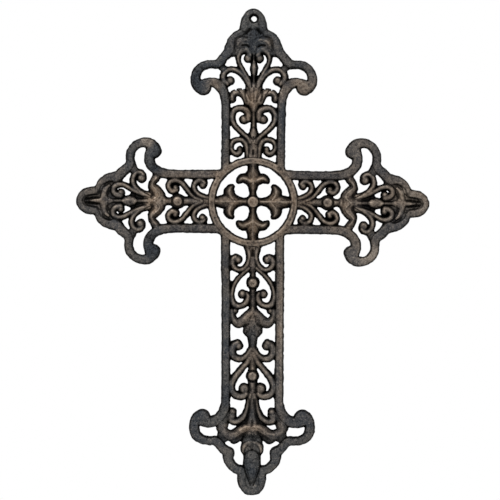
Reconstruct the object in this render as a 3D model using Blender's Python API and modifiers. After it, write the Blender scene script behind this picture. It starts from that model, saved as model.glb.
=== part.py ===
"""Openwork cast iron wall cross, modelled in Blender 4.5.

One casting: four railed arms round a ring that holds a small cross, each arm filled with
scrolls and closed by a lobed head. Metres, +Z up. The front faces -Y and the flat back lies
on y = 0. The origin is the middle of the hanging hole, on the back.

The pattern is drawn for one half of one arm as (across, along) in millimetres, outward from
the ring's centre. Arm.place moves that drawing to the casting's own sizes, and each arm takes
it on both sides of its axis.
"""
import math

import bmesh
import bpy
from mathutils import Matrix, Vector

MM = 0.001

# Driving dimensions, in millimetres
RING_RADIUS = 37.7
RING_WIDTH = 6.4
RING_DEPTH = 8.6
RAIL_OFFSET = 25.4
RAIL_WIDTH = 8.0
FRAME_DEPTH = 8.0
SIDE_REACH = 163.6
TOP_REACH = 178.8
FOOT_REACH = 271.2
HEAD_LENGTH = 88.6
HEAD_HALF_WIDTH = 58.8
SCROLL_WIDTH = 6.4
SCROLL_DEPTH = 7.0
EYE_DEPTH = 7.4
CROSS_DEPTH = 8.4
CROSS_CHAMFER = 2.2
BOSS_DIAMETER = 12.6
BOSS_DEPTH = 8.8
BEAD_DIAMETER = 12.2
BEAD_DEPTH = 8.2
LEAF_DEPTH = 7.4
LEAF_CHAMFER = 1.8
STEM_DEPTH = 6.2
BUD_DEPTH = 7.2
WEB_DEPTH = 3.6
FLOOR_DEPTH = 4.4
HANGING_BORE = 6.0
COUNTERSINK_WIDTH = 9.0
COUNTERSINK_DEPTH = 1.8
HOLE_FROM_TIP = 9.3
CORNER_FILLET = 2.6
CORNER_STEP = 0.5
CORNER_OVERLAP = 3.0

# Widths at the back and at the crest of each section, as shares of its nominal width
FRAME_TAPER = (1.03, 0.78)
RING_TAPER = (1.05, 0.82)
SCROLL_TAPER = (1.08, 0.36)
BOSS_TAPER = 0.8
BALL_TAPER = 0.85

# The drawing's own measures, which Arm.place stretches to the sizes above
DRAWN_RING = 40.9
DRAWN_RAIL = 25.4
DRAWN_LOBE = 58.8
DRAWN_NECK = 75.0
DRAWN_HEAD = 88.6
DRAWN_REACH = DRAWN_NECK + DRAWN_HEAD
TOP_SHIFT = 15.2
FOOT_SHIFT = 107.6

# How far a piece runs past the back before the back is trimmed flat
BACK_ALLOWANCE = 1.5
CUTTER_ALLOWANCE = 4.0

SCROLL_STEPS = 2
FRAME_STEPS = 1
EYE_SIDES = 8
EYE_FOOT = 1.1
EYE_TOP = 0.85
BOSS_SIDES = 12
BEAD_SIDES = 10
BEAD_RINGS = 6
BORE_SIDES = 24
RING_KNOTS = 32
HOOK_KNOTS = 7
SHOULDER_KNOTS = 4
TIP_KNOTS = 8
FLAT_ANGLE = 0.5
LEVEL_DECIMALS = 6

ring_edge = RING_RADIUS + RING_WIDTH / 2


class Arm:
    """One arm of the cross: where it points, how far it reaches, and how its drawing maps."""

    def __init__(self, pattern, turn, reach, shift):
        self.pattern = pattern
        self.turn = math.radians(turn)
        self.shift = shift
        self.drawn_neck = DRAWN_NECK + shift
        self.neck = reach - HEAD_LENGTH

    def along(self, drawn):
        """The distance from the ring's centre of a drawn distance along the arm."""
        if drawn <= DRAWN_RING:
            return drawn * ring_edge / DRAWN_RING
        if drawn <= self.drawn_neck:
            share = (drawn - DRAWN_RING) / (self.drawn_neck - DRAWN_RING)
            return ring_edge + share * (self.neck - ring_edge)
        return self.neck + (drawn - self.drawn_neck) * HEAD_LENGTH / DRAWN_HEAD

    def across(self, drawn):
        """The distance from the arm's axis of a drawn distance across it."""
        size = abs(drawn)
        inner = min(size, DRAWN_RAIL) * RAIL_OFFSET / DRAWN_RAIL
        lobe_scale = (HEAD_HALF_WIDTH - RAIL_OFFSET) / (DRAWN_LOBE - DRAWN_RAIL)
        return math.copysign(inner + max(0.0, size - DRAWN_RAIL) * lobe_scale, drawn)

    def place(self, point, side=1):
        """A drawn point in the cross's plan, in metres, with x to the right and y up."""
        return self.turned(self.across(point[0]) * side, self.along(point[1]))

    def place_beside(self, anchor, point, side=1):
        """A drawn point that keeps its drawn distance from its anchor when the arm stretches."""
        return self.place(anchor, side) + self.turned((point[0] - anchor[0]) * side, point[1] - anchor[1])

    def place_in_ring(self, point, side=1):
        """A drawn point of the small cross, which keeps its proportions inside the ring."""
        scale = ring_edge / DRAWN_RING
        return self.turned(point[0] * side * scale, point[1] * scale)

    def turned(self, x, y):
        c, s = math.cos(self.turn), math.sin(self.turn)
        return Vector((x * c + y * s, y * c - x * s)) * MM


ARMS = (
    Arm("side", 90, SIDE_REACH, 0.0),
    Arm("side", -90, SIDE_REACH, 0.0),
    Arm("top", 0, TOP_REACH, TOP_SHIFT),
    Arm("foot", 180, FOOT_REACH, FOOT_SHIFT),
)
SIDES = (1, -1)

# Scrolls of each arm: the points that the stroke's middle passes, its eye and the eye's radius
SCROLLS = {
    "side": [
        (((3.6, 39), (6.5, 49.8), (13.8, 55), (19.4, 50.8), (17.8, 45.6)), (14.8, 46.2), 3.2),
        (((0, 46.5), (7.6, 57.9), (16, 65.4), (19, 73.6), (13.8, 78.7), (9.2, 75.4)), (12, 71.8), 2.8),
        (((4.6, 94.5), (10.3, 105.3), (19.8, 112), (26.8, 107.2), (25, 102.2)), (21.4, 103.4), 3.8),
        (((4, 95.5), (9.5, 108), (14.4, 119), (12.6, 128.4), (6.6, 127.6)), (7.6, 122.2), 3.6),
    ],
    "top": [
        (((5.3, 39), (6.1, 50.8), (13, 58), (19.8, 51), (16.5, 44.6)), (12.4, 48.4), 3.2),
        (((2.2, 55), (8.5, 63), (16.3, 70.5), (19.4, 80.3), (13.4, 87.6), (6.6, 83)), (8.9, 77), 4.1),
        (((4.4, 105), (9.6, 116.9), (19.5, 123.4), (28.6, 116.6), (25.8, 110.2)), (21.3, 112.3), 4.0),
        (((3.4, 105.5), (8.2, 117), (14, 131), (10.6, 141), (4.2, 138.4)), (6, 133.4), 3.8),
    ],
    "foot": [
        (((6.2, 39), (4.1, 49), (7.6, 60.8), (14.5, 63), (19, 57.2), (16.4, 51.8)), (12.8, 53.2), 4.3),
        (((2.6, 61.5), (10.3, 68.2), (17.2, 78), (18.6, 89), (12, 96.2), (5.2, 88.2)), (9.2, 85), 3.8),
        (((0, 135), (7, 143.6), (14.5, 144.3), (18.4, 137.2), (15.4, 131.8)), (12.9, 132.6), 4.4),
        (((0, 140), (9, 153.4), (17, 165), (18.6, 175.6), (11, 180), (6.6, 176.6)), (7.6, 173), 5.0),
        (((0.8, 178), (3.8, 191), (10.5, 202.3), (18.3, 202), (20.4, 197.4)), (18.3, 195), 3.8),
    ],
}

# Leaves of each arm: the points of the leaf's middle, with its half width there
LEAVES = {
    "side": [((3, 86, 5.2), (9, 90, 4.8), (15, 93.2, 4), (20.8, 90.2, 3.2), (22.6, 87.6, 2.8))],
    "top": [((3, 95, 5), (9, 100.6, 4.2), (15, 102.4, 3.7), (19.6, 99.4, 3.4), (20.8, 94.8, 3.2))],
    "foot": [
        ((1, 101.5, 4.6), (7, 107.4, 5.2), (13.6, 112, 5.6), (18.6, 107.6, 3.4), (17.6, 101.8, 3.2)),
        ((0, 208.8, 4.6), (8, 210.8, 5.4), (17.6, 215.6, 5.6), (26, 212.6, 5), (27, 206, 4.8)),
        ((8, 214, 4), (17, 218.4, 5.6), (20, 218, 4.2)),
    ],
}

# Stems, buds and leaf bodies on each arm's axis: a depth, then (0, distance along, half width)
STEMS = {
    "side": [
        (STEM_DEPTH, ((0, 38, 4.8), (0, 84, 3.4))),
        (LEAF_DEPTH, ((0, 82, 4.8), (0, 86, 7), (0, 90, 7.8), (0, 95, 6), (0, 99, 3.2))),
        (STEM_DEPTH, ((0, 96, 3.2), (0, 136, 3))),
        (BUD_DEPTH, ((0, 107, 2.4), (0, 111, 4.8), (0, 114.5, 5.4), (0, 118, 4.2), (0, 121.5, 2.4))),
    ],
    "top": [
        (STEM_DEPTH, ((0, 38, 6), (0, 52, 5.4), (0, 60, 3.2), (0, 105, 3.2))),
        (BUD_DEPTH, ((0, 55, 2.8), (0, 61, 4.4), (0, 66, 3.8), (0, 69.5, 2.4))),
        (LEAF_DEPTH, ((0, 85.5, 3), (0, 90, 6.4), (0, 96, 8), (0, 105, 6.8))),
        (STEM_DEPTH, ((0, 104, 3.2), (0, 146, 3))),
        (BUD_DEPTH, ((0, 117, 2.4), (0, 120.5, 3.8), (0, 124.5, 4.6), (0, 128, 3.8), (0, 131.5, 2.4))),
    ],
    "foot": [
        (STEM_DEPTH, ((0, 38, 6.6), (0, 52, 5.2), (0, 62, 4.2), (0, 64, 3.2), (0, 104, 3.2))),
        (LEAF_DEPTH, ((0, 97, 3.4), (0, 106, 6), (0, 116, 8.2), (0, 119, 9.2), (0, 121.6, 8.2),
                      (0, 123.4, 6), (0, 127, 5), (0, 133, 3.6), (0, 138, 3))),
        (STEM_DEPTH, ((0, 138.6, 3.2), (0, 178, 3.4))),
        (STEM_DEPTH, ((0, 176, 3.6), (0, 190, 5), (0, 200, 7), (0, 209, 8.4))),
        (LEAF_DEPTH, ((0, 207, 6.4), (0, 218, 8.4), (0, 222, 10), (0, 227, 11), (0, 230.5, 10.4),
                      (0, 232.6, 8.6), (0, 236, 8.2), (0, 250, 7.8))),
    ],
}

BEADS = {"side": [69.8], "top": [], "foot": [75, 161]}

# Low webs that fill the tight corners of the scrollwork: points with their half widths
WEBS = {
    "side": [
        ((2, 47, 4), (6, 55, 3)),
        ((3, 97, 4), (6.6, 108.5, 2.4)),
        ((26, 110, 3.4), (29.5, 113, 3.4)),
    ],
    "top": [
        ((2, 105, 4), (4.4, 113.5, 2.4)),
        ((28, 119.6, 3.4), (29.5, 122, 3.4)),
        ((2, 50, 5), (6, 58, 3)),
    ],
    "foot": [
        ((18, 97.5, 3), (22.4, 99, 3)),
        ((21.5, 102, 2.8), (21.5, 110, 2.8)),
        ((1, 143, 4), (3.4, 149, 2.4)),
        ((1, 180, 5), (7, 203, 5)),
        ((22, 197.5, 3.6), (28, 202, 4)),
        ((29, 214, 3.4), (26, 220, 3)),
    ],
}

# Solid floors behind the ends of the heads: half outlines, from the axis and back to it
FLOORS = {
    "side": ((0, 158), (6, 157), (10, 148), (20, 140), (24, 128), (21, 120.6), (15.5, 121),
              (12.4, 128.8), (7, 128.5), (3, 123), (0, 121)),
    "top": ((0, 174), (8, 171), (10, 163), (20, 154.5), (24, 143), (21, 135.4), (15.5, 135.6),
            (12, 141.4), (5, 141), (3, 138), (0, 136)),
    "foot": ((0, 267), (8, 264), (11, 252), (8, 245), (0, 243)),
}

# The small cross in the ring: the right half of one barbed arm, from the boss out to the ring
CROSS_ARM = ((3.2, 2), (3.2, 9), (4.6, 13.4), (8.4, 16.8), (16.2, 17.2), (15, 22.6),
             (10.5, 25.9), (6.2, 27.4), (4.8, 37))

# The frame of a head, before its shift: rail, ball, hook and the two lobes at the end
RAIL_START = 28.0
RAIL_KNOTS = ((0, -5), (0.1, 1), (1.9, 10.2), (6.2, 16.6), (12.8, 20.2), (19.1, 18.6))
BALL_CENTRE = (45.6, 91.9)
BALL_RADIUS = 7.2
HOOK_CENTRE = (42.2, 101.0)
HOOK_RADIUS = 12.5
HOOK_TURN = (-72, 84)
HOOK_END = ((36, 113.7), (32.1, 115.1), (28, 119.9), (24, 124.6), (22.4, 128.2))
SHOULDER_CENTRE = (11.0, 130.2)
SHOULDER_RADII = (11.2, 11.6)
SHOULDER_TURN = (-14, 100)
TIP_RADIUS = 8.8
TIP_HEIGHT = 10.8
TIP_TURN = (-35, 215)


def reset_scene():
    for obj in list(bpy.data.objects):
        bpy.data.objects.remove(obj, do_unlink=True)


def new_collection(name):
    collection = bpy.data.collections.new(name)
    bpy.context.scene.collection.children.link(collection)
    return collection


def as_guide(obj, collection):
    obj.hide_render = True
    obj.display_type = "WIRE"
    collection.objects.link(obj)
    return obj


def arc(centre, radii, start, end, steps):
    """Points of an elliptic arc, its angles in degrees from the across direction."""
    points = []
    for i in range(steps + 1):
        angle = math.radians(start + (end - start) * i / steps)
        points.append((centre[0] + radii[0] * math.cos(angle), centre[1] + radii[1] * math.sin(angle)))
    return points


def round_end(centre, first, steps):
    """The points of a round end, turning clockwise from the corner that first points to."""
    points = []
    for i in range(1, steps + 1):
        turn = Matrix.Rotation(-math.pi * i / (steps + 1), 2)
        points.append(centre + turn @ first)
    return points


def ribbon(knots, place, side, end_steps=2):
    """The outline of a ribbon through (across, along, half width) knots, round at both ends."""
    middle = [place(knot, side) for knot in knots]
    left, right = [], []
    for i, here in enumerate(middle):
        heading = (middle[min(i + 1, len(middle) - 1)] - middle[max(i - 1, 0)]).normalized()
        normal = Vector((-heading.y, heading.x)) * knots[i][2] * MM
        left.append(here + normal)
        right.append(here - normal)
    finish = round_end(middle[-1], left[-1] - middle[-1], end_steps)
    start = round_end(middle[0], right[0] - middle[0], end_steps)
    return left + finish + right[::-1] + start


def section(name, width, taper, depth, guides):
    """A tapered section for sweeping, from behind the back up to its depth."""
    curve = bpy.data.curves.new(name, "CURVE")
    curve.dimensions = "2D"
    foot, crest = (width / 2 * share for share in taper)
    outline = ((foot, -BACK_ALLOWANCE), (crest, depth), (-crest, depth), (-foot, -BACK_ALLOWANCE))
    spline = curve.splines.new("POLY")
    spline.points.add(len(outline) - 1)
    for knot, (across, height) in zip(spline.points, outline):
        knot.co = (across * MM, height * MM, 0, 1)
    spline.use_cyclic_u = True
    return as_guide(bpy.data.objects.new(name, curve), guides)


class Casting:
    """Collects the pieces of the pattern as closed meshes and joins them into one object."""

    def __init__(self, collection, guides):
        self.collection = collection
        self.guides = guides
        self.meshes = []
        self.stand_up = Matrix(((1, 0, 0, 0), (0, 0, -1, 0), (0, 1, 0, 0), (0, 0, 0, 1)))

    def add_curve(self, name, curve, forward=0.0):
        """Stand a plan curve up in front of the back and keep its evaluated mesh, caps welded."""
        obj = bpy.data.objects.new(name, curve)
        self.guides.objects.link(obj)
        obj.matrix_world = Matrix.Translation((0, -forward, 0)) @ self.stand_up
        bpy.context.view_layer.update()
        mesh = bpy.data.meshes.new_from_object(obj.evaluated_get(bpy.context.evaluated_depsgraph_get()))
        mesh.transform(obj.matrix_world)
        bpy.data.objects.remove(obj)
        bpy.data.curves.remove(curve)
        bm = bmesh.new()
        bm.from_mesh(mesh)
        bpy.data.meshes.remove(mesh)
        bmesh.ops.remove_doubles(bm, verts=bm.verts, dist=1e-6)
        bmesh.ops.recalc_face_normals(bm, faces=bm.faces)
        self.keep(name, bm)

    def add_solid(self, name, bm, smooth=False):
        """Stand a plan solid up and keep it."""
        bm.transform(self.stand_up)
        self.keep(name, bm, smooth)

    def keep(self, name, bm, smooth=False):
        """Keep a closed piece, with its levels rounded so that equal ones lie in one plane."""
        for vert in bm.verts:
            vert.co.y = round(vert.co.y, LEVEL_DECIMALS)
        for face in bm.faces:
            face.smooth = smooth
        mesh = bpy.data.meshes.new(name)
        bm.to_mesh(mesh)
        bm.free()
        self.meshes.append(mesh)

    def sweep(self, name, points, profile, steps, cyclic=False):
        """A stroke of the given section through plan points."""
        curve = bpy.data.curves.new(name, "CURVE")
        curve.dimensions = "2D"
        curve.resolution_u = steps
        curve.bevel_mode = "OBJECT"
        curve.bevel_object = profile
        curve.use_fill_caps = not cyclic
        spline = curve.splines.new("BEZIER")
        spline.bezier_points.add(len(points) - 1)
        for knot, point in zip(spline.bezier_points, points):
            knot.co = (point[0], point[1], 0)
            knot.handle_left_type = "AUTO"
            knot.handle_right_type = "AUTO"
        spline.use_cyclic_u = cyclic
        self.add_curve(name, curve)

    def plate(self, name, outline, depth, chamfer=0.0):
        """A flat piece from behind the back up to its depth, with its front edge chamfered."""
        curve = bpy.data.curves.new(name, "CURVE")
        curve.dimensions = "2D"
        curve.fill_mode = "BOTH"
        behind = BACK_ALLOWANCE + chamfer
        curve.extrude = ((depth + behind) / 2 - chamfer) * MM
        curve.bevel_depth = chamfer * MM
        curve.bevel_resolution = 0
        curve.offset = -chamfer * MM
        spline = curve.splines.new("POLY")
        spline.points.add(len(outline) - 1)
        for knot, point in zip(spline.points, outline):
            knot.co = (point[0], point[1], 0, 1)
        spline.use_cyclic_u = True
        self.add_curve(name, curve, (depth - behind) / 2 * MM)

    def pad(self, name, centre, base_radius, top_radius, depth, sides):
        """A tapered round pad from behind the back up to its depth."""
        bm = bmesh.new()
        height = (depth + BACK_ALLOWANCE) * MM
        bmesh.ops.create_cone(bm, cap_ends=True, segments=sides, radius1=base_radius * MM,
                              radius2=top_radius * MM, depth=height)
        bm.transform(Matrix.Translation((centre.x, centre.y, height / 2 - BACK_ALLOWANCE * MM)))
        self.add_solid(name, bm)

    def dome(self, name, centre, radius, depth, sides):
        """A round bead: half a squashed sphere in front of the back."""
        bm = bmesh.new()
        bmesh.ops.create_uvsphere(bm, u_segments=sides, v_segments=BEAD_RINGS, radius=1.0)
        scale = Matrix.Diagonal((radius * MM, radius * MM, depth * MM, 1))
        bm.transform(Matrix.Translation((centre.x, centre.y, 0)) @ scale)
        self.add_solid(name, bm, smooth=True)

    def joined(self, name):
        """All the pieces as one object, overlapping until its modifiers make them one body."""
        bm = bmesh.new()
        for mesh in self.meshes:
            bm.from_mesh(mesh)
            bpy.data.meshes.remove(mesh)
        pieces = bpy.data.meshes.new(name)
        bm.to_mesh(pieces)
        bm.free()
        obj = bpy.data.objects.new(name, pieces)
        self.collection.objects.link(obj)
        return obj


def add_ring(casting, profile):
    points = [Vector(p) * MM for p in arc((0, 0), (RING_RADIUS, RING_RADIUS), 0, 360, RING_KNOTS)[:-1]]
    casting.sweep("ring", points, profile, FRAME_STEPS, cyclic=True)


def add_small_cross(casting):
    for arm in ARMS:
        outline = [arm.place_in_ring(p, 1) for p in CROSS_ARM]
        outline += [arm.place_in_ring(p, -1) for p in CROSS_ARM[::-1]]
        casting.plate("small_cross", outline, CROSS_DEPTH, CROSS_CHAMFER)
    radius = BOSS_DIAMETER / 2
    casting.pad("boss", Vector((0, 0)), radius, radius * BOSS_TAPER, BOSS_DEPTH, BOSS_SIDES)


def add_frame(casting, arm, profile):
    """On each side the rail, the ball and hook of the lobe and the shoulder, then the tip."""
    for side in SIDES:
        def route(points):
            return [arm.place((p[0], p[1] + arm.shift), side) for p in points]

        knots = [(DRAWN_RAIL, RAIL_START - arm.shift)]
        knots += [(DRAWN_RAIL + out, DRAWN_NECK + on) for out, on in RAIL_KNOTS]
        casting.sweep("rail", route(knots), profile, FRAME_STEPS)
        hook = arc(HOOK_CENTRE, (HOOK_RADIUS, HOOK_RADIUS), *HOOK_TURN, HOOK_KNOTS) + list(HOOK_END)
        casting.sweep("hook", route(hook), profile, FRAME_STEPS)
        shoulder = arc(SHOULDER_CENTRE, SHOULDER_RADII, *SHOULDER_TURN, SHOULDER_KNOTS)
        casting.sweep("shoulder", route(shoulder), profile, FRAME_STEPS)
        ball = arm.place((BALL_CENTRE[0], BALL_CENTRE[1] + arm.shift), side)
        casting.pad("ball", ball, BALL_RADIUS, BALL_RADIUS * BALL_TAPER, FRAME_DEPTH, BOSS_SIDES)
    tip_centre = (0, DRAWN_REACH - RAIL_WIDTH / 2 - TIP_HEIGHT)
    tip = arc(tip_centre, (TIP_RADIUS, TIP_HEIGHT), *TIP_TURN, TIP_KNOTS)
    casting.sweep("tip", [arm.place((p[0], p[1] + arm.shift)) for p in tip], profile, FRAME_STEPS)


def add_corner(casting, arm, side):
    """The small fillet where two arms' rails meet."""
    corner = RAIL_OFFSET + RAIL_WIDTH / 2
    start = corner - CORNER_OVERLAP
    near = corner - CORNER_STEP
    end = corner + CORNER_FILLET
    outline = [arm.turned(x * side, y) for x, y in
               ((start, start), (end, start), (end, near), (near, end), (start, end))]
    casting.plate("corner", outline, FRAME_DEPTH - CORNER_STEP)


def add_pattern(casting, arm, profile):
    """The scrolls, leaves, stems, beads, webs and floor of one arm."""
    for side in SIDES:
        for points, eye, eye_radius in SCROLLS[arm.pattern]:
            casting.sweep("scroll", [arm.place(p, side) for p in points], profile, SCROLL_STEPS)
            casting.pad("eye", arm.place_beside(points[-1], eye, side), eye_radius * EYE_FOOT,
                        eye_radius * EYE_TOP, EYE_DEPTH, EYE_SIDES)
        for knots in LEAVES[arm.pattern]:
            casting.plate("leaf", ribbon(knots, arm.place, side), LEAF_DEPTH, LEAF_CHAMFER)
        for knots in WEBS[arm.pattern]:
            casting.plate("web", ribbon(knots, arm.place, side, end_steps=1), WEB_DEPTH)
    for depth, knots in STEMS[arm.pattern]:
        casting.plate("stem", ribbon(knots, arm.place, 1, end_steps=0), depth)
    for distance in BEADS[arm.pattern]:
        casting.dome("bead", arm.place((0, distance)), BEAD_DIAMETER / 2, BEAD_DEPTH, BEAD_SIDES)
    half = FLOORS[arm.pattern]
    outline = [arm.place(p, 1) for p in half] + [arm.place(p, -1) for p in half[-2:0:-1]]
    casting.plate("floor", outline, FLOOR_DEPTH)


def hole_cutter(cutters):
    """A turned cutter along Y about the origin: the bore behind and its countersink in front."""
    front = -FRAME_DEPTH - CUTTER_ALLOWANCE
    step = -FRAME_DEPTH + COUNTERSINK_DEPTH
    bore = HANGING_BORE / 2
    rim = bore + (COUNTERSINK_WIDTH / 2 - bore) * (step - front) / COUNTERSINK_DEPTH
    profile = ((0, CUTTER_ALLOWANCE), (bore, CUTTER_ALLOWANCE), (bore, step), (rim, front), (0, front))
    mesh = bpy.data.meshes.new("hole_cutter")
    bm = bmesh.new()
    verts = [bm.verts.new((x * MM, y * MM, 0)) for x, y in profile]
    for first, second in zip(verts, verts[1:]):
        bm.edges.new((first, second))
    bm.to_mesh(mesh)
    bm.free()
    cutter = as_guide(bpy.data.objects.new("hole_cutter", mesh), cutters)
    screw = cutter.modifiers.new("turned", "SCREW")
    screw.axis = "Y"
    screw.steps = BORE_SIDES
    screw.render_steps = BORE_SIDES
    screw.use_merge_vertices = True
    screw.merge_threshold = 0.00001


def back_cutter(cutters):
    """A block behind the back plane, wider than the casting."""
    size = 2.4 * (FOOT_REACH + SIDE_REACH) * MM
    depth = 6 * (BACK_ALLOWANCE + CROSS_CHAMFER) * MM
    bm = bmesh.new()
    bmesh.ops.create_cube(bm, size=1.0)
    bm.transform(Matrix.Translation((0, depth / 2, 0)) @ Matrix.Diagonal((size, depth, size, 1)))
    mesh = bpy.data.meshes.new("back_cutter")
    bm.to_mesh(mesh)
    bm.free()
    as_guide(bpy.data.objects.new("back_cutter", mesh), cutters)


def iron_material():
    material = bpy.data.materials.new("cast_iron")
    material.use_nodes = True
    shader = material.node_tree.nodes["Principled BSDF"]
    shader.inputs["Base Color"].default_value = (0.045, 0.043, 0.042, 1)
    shader.inputs["Roughness"].default_value = 0.62
    shader.inputs["Metallic"].default_value = 0.55
    return material


def main():
    reset_scene()
    collection = new_collection("wall_cross")
    cutters = new_collection("cutters")
    guides = new_collection("guides")
    frame_profile = section("frame_profile", RAIL_WIDTH, FRAME_TAPER, FRAME_DEPTH, guides)
    ring_profile = section("ring_profile", RING_WIDTH, RING_TAPER, RING_DEPTH, guides)
    scroll_profile = section("scroll_profile", SCROLL_WIDTH, SCROLL_TAPER, SCROLL_DEPTH, guides)

    casting = Casting(collection, guides)
    add_ring(casting, ring_profile)
    add_small_cross(casting)
    for arm in ARMS:
        add_frame(casting, arm, frame_profile)
        add_pattern(casting, arm, scroll_profile)
    for side in SIDES:
        add_corner(casting, ARMS[0], side)
        add_corner(casting, ARMS[1], side)

    cross = casting.joined("cross")
    # The hanging hole is at the origin, so the ring's centre is this far below it
    cross.location.z = -(TOP_REACH - HOLE_FROM_TIP) * MM
    cross.data.materials.append(iron_material())
    back_cutter(cutters)
    hole_cutter(cutters)
    fuse = cross.modifiers.new("fuse_and_cut", "BOOLEAN")
    fuse.operation = "DIFFERENCE"
    fuse.operand_type = "COLLECTION"
    fuse.collection = cutters
    fuse.use_self = True
    flat = cross.modifiers.new("flat_faces", "DECIMATE")
    flat.decimate_type = "DISSOLVE"
    flat.angle_limit = math.radians(FLAT_ANGLE)


main()
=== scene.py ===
"""Openwork cast iron wall cross: its cast surface, finish, light and camera.

The casting is one relief. Every form of the pattern is a stroke in the plan of the cross, in
millimetres, with a section that gives its height in front of the flat back. The highest form
wins at each point of a fine grid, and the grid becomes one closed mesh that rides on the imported
body. Plan x runs to the viewer's right and plan y up, from the ring's centre.
"""
import math

import bpy
import numpy as np
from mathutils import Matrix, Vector


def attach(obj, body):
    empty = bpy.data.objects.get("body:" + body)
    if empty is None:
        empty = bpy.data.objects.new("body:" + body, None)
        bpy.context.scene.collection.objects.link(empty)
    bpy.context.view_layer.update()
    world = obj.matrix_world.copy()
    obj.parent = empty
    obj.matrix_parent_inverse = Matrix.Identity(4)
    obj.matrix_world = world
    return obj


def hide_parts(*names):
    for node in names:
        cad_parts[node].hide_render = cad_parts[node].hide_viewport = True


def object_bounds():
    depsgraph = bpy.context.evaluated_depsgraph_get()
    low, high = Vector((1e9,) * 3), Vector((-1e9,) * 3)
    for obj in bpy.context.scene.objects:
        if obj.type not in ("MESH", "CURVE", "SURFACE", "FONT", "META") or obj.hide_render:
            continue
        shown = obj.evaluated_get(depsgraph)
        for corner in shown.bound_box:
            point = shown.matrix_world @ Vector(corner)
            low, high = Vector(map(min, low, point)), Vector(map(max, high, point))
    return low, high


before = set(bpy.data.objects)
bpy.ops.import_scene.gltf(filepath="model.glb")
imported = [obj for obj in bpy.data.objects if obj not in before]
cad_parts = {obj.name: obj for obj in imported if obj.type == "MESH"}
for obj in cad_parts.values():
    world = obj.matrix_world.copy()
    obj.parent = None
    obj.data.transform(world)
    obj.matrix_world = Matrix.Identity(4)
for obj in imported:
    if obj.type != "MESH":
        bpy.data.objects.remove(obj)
cad_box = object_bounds()

MM = 0.001
GRID = 0.5  # the step of the height grid
WALL_SLOPE = 7.0  # the rise of the side walls for each millimetre in
SHOULDER_FALL = 0.9  # the fall of a rounded shoulder, as a share of its width
CORNER = 1.4  # outlines nearer than this fill the corner between them
OUTSET = 0.17  # how far each outline grows
OUTSIDE = 3.0  # how far outside a form its distance is worked out
RING_TO_HOLE = 169.5
RING_RADIUS, RING_HALF = 38.15, 3.8
ARM_SETBACK = 0.3  # how far under the ring the arms end
BOSS_RADIUS = 6.3
BOSS_GROOVE = 5.5, (1.1, 1.2, 0.9)  # radius, then the reach, depth and painted shade of the cut
BEAD_GROOVE = 5.1, (1.5, 1.4, 0.8)
HOLE_RADIUS, HOLE_SLOPE = 2.6, 5.0
# Painted shade round the hanging hole: where it starts, and over what stretch it fades
HOLE_SHADE, HOLE_FADE = 3.9, 1.3
WEB_DEPTH = 3.2
PROUDEST = 8.75
TRIANGLES = 190000

X0, X1 = -166.0, 166.0
Y0, Y1 = -274.0, 181.5
xs = np.arange(X0, X1 + GRID / 2, GRID)
ys = np.arange(Y0, Y1 + GRID / 2, GRID)
plan_x, plan_y = np.meshgrid(xs, ys)
shape = plan_x.shape
inside = np.full(shape, -OUTSIDE)
height = np.full(shape, -OUTSIDE * WALL_SLOPE)
unshaded = np.zeros(shape)
rubbed = np.zeros(shape)


def fade(value, start, over):
    """0 up to the start, then rising to 1 over the given stretch."""
    return np.clip((value - start) / over, 0, 1)


# ---------------------------------------------------------------- sections
# A section takes the share of the way out to the edge and the distance in from it, and gives
# the height. With it go the two distances over which its painted wall shade fades from black to
# full.
def flat(top, shoulder):
    """A flat top with a rounded shoulder."""
    def section(u, s):
        edge = np.clip((shoulder - s) / shoulder, 0, 1)
        return top - SHOULDER_FALL * shoulder * (1 - np.sqrt(np.clip(1 - edge ** 2, 0, 1)))
    return section


def crest(top, edge, power):
    """A crest that falls to the height of its edge, sharper for a lower power."""
    def section(u, s):
        return edge + (top - edge) * (1 - np.clip(u, 0, 1) ** power)
    return section


RAIL = flat(8.0, 2.2), (-0.1, 2.5)
BAND = flat(8.6, 1.8), (0.7, 2.2)
SCROLL = crest(7.0, 4.0, 2.0), (1.2, 3.0)
STEM = crest(6.2, 3.6, 1.6), (1.1, 4.2)
LEAF = crest(7.4, 4.4, 1.6), (0.5, 3.6)
LOWLEAF = flat(5.4, 1.5), (1.2, 5)
ROOF = crest(8.4, 3.2, 1.1), (1.6, 4.3)
BEAD = crest(8.2, 3.4, 3.0), (1.3, 3.2)
EYE = crest(7.4, 4.2, 2.2), (1.2, 3.6)
BUD = crest(7.7, 4.0, 1.7), (1.2, 3.0)
BOSS = flat(8.7, 1.2), (1.3, 2.0)
FLOOR = flat(4.2, 0.6), (-4, 12)
HEAD = flat(6.5, 0.8), (-6, 5)
RELIEF = crest(7.7, 6.3, 2.0), (-3.0, 2.6)
TWIG = crest(7.2, 5.0, 1.8), (0.2, 2.2)
SHAFT = crest(6.9, 4.6, 2.4), (0.2, 3.4)
CAP = crest(8.2, 5.6, 1.8), (0.3, 2.8)
LINK = flat(5.8, 1.2), (-0.5, 5)
WEB = flat(WEB_DEPTH, 0.6), (2, 9)


def smooth(points, per=6):
    """A Catmull-Rom curve through the points."""
    p = np.array(points, float)
    if len(p) < 3:
        return p
    p = np.vstack([2 * p[0] - p[1], p, 2 * p[-1] - p[-2]])
    out = []
    for i in range(1, len(p) - 2):
        a, b, c, d = p[i - 1], p[i], p[i + 1], p[i + 2]
        for t in np.arange(per) / per:
            out.append(0.5 * (2 * b + (c - a) * t + (2 * a - 5 * b + 4 * c - d) * t * t
                              + (3 * b - a - 3 * c + d) * t ** 3))
    out.append(p[-2])
    return np.array(out)


def window(low, high):
    """The part of the grid between two corners."""
    i0 = max(0, int((low[1] - Y0) / GRID) - 1)
    i1 = min(shape[0], int((high[1] - Y0) / GRID) + 3)
    j0 = max(0, int((low[0] - X0) / GRID) - 1)
    j1 = min(shape[1], int((high[0] - X0) / GRID) + 3)
    return slice(i0, i1), slice(j0, j1)


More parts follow.
